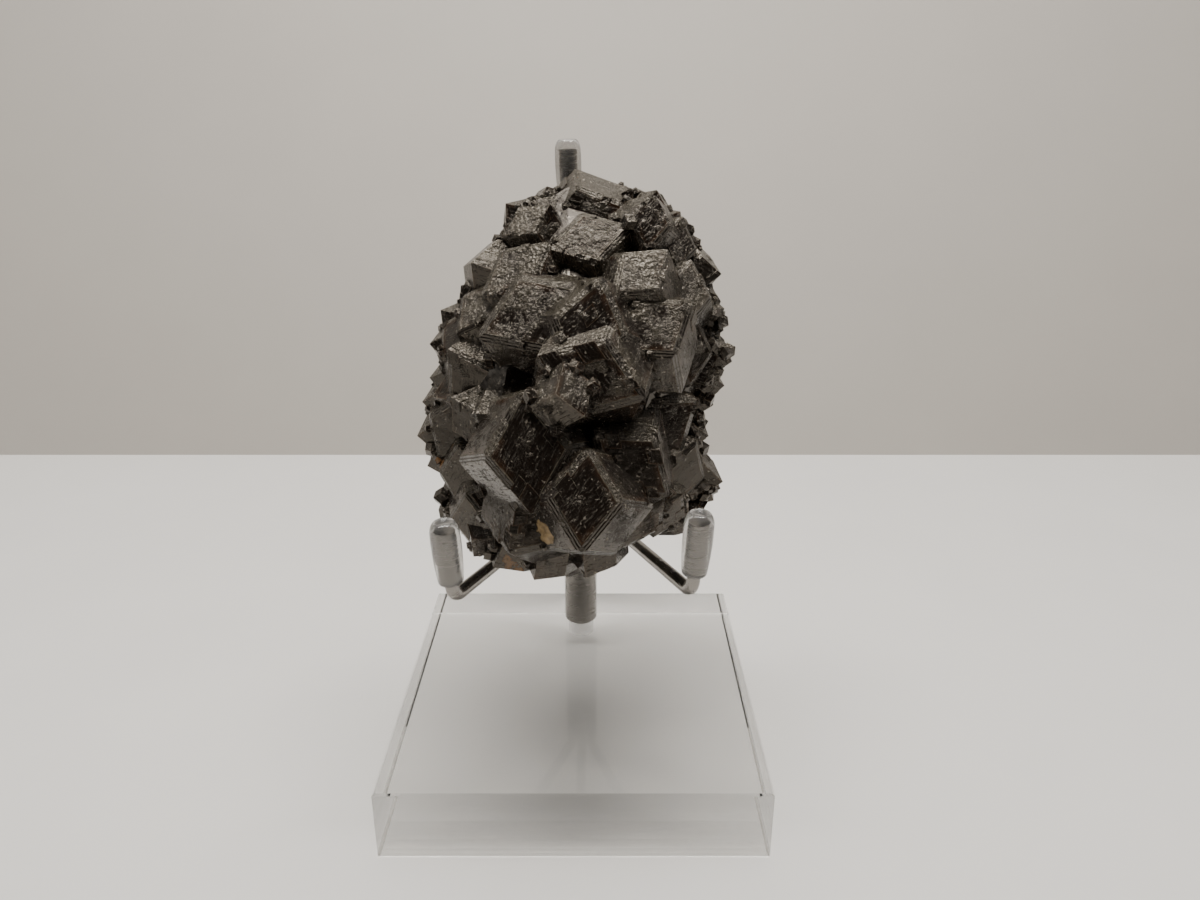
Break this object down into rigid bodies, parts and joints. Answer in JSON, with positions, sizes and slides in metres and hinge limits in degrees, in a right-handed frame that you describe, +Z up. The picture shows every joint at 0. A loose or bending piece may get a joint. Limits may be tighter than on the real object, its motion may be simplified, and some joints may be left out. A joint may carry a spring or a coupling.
{
  "type": "andradite garnet specimen on a display stand",
  "caption": "Dark garnet crystal cluster held by padded wire prongs on a post that stands in a clear acrylic block.",
  "frame": {"origin": "centre of the bottom face of the acrylic base", "axes": "+Z up, -Y towards the side that the crystals are shown from, +X to the right seen from that side"},
  "size_m": [0.06, 0.06, 0.1027],
  "materials": {
    "acrylic": "clear cast acrylic, polished",
    "steel": "bright rod and wire",
    "vinyl": "clear soft vinyl",
    "garnet": "vitreous crystal faces, finely pitted"
  },
  "bodies": {
    "root": {"acrylic_base": "acrylic", "post": "steel", "left_arm": "steel", "right_arm": "steel", "rear_arm": "steel", "left_sleeve": "vinyl", "right_sleeve": "vinyl", "rear_sleeve": "vinyl", "andradite_cluster": "garnet"}
  },
  "joints": []
}
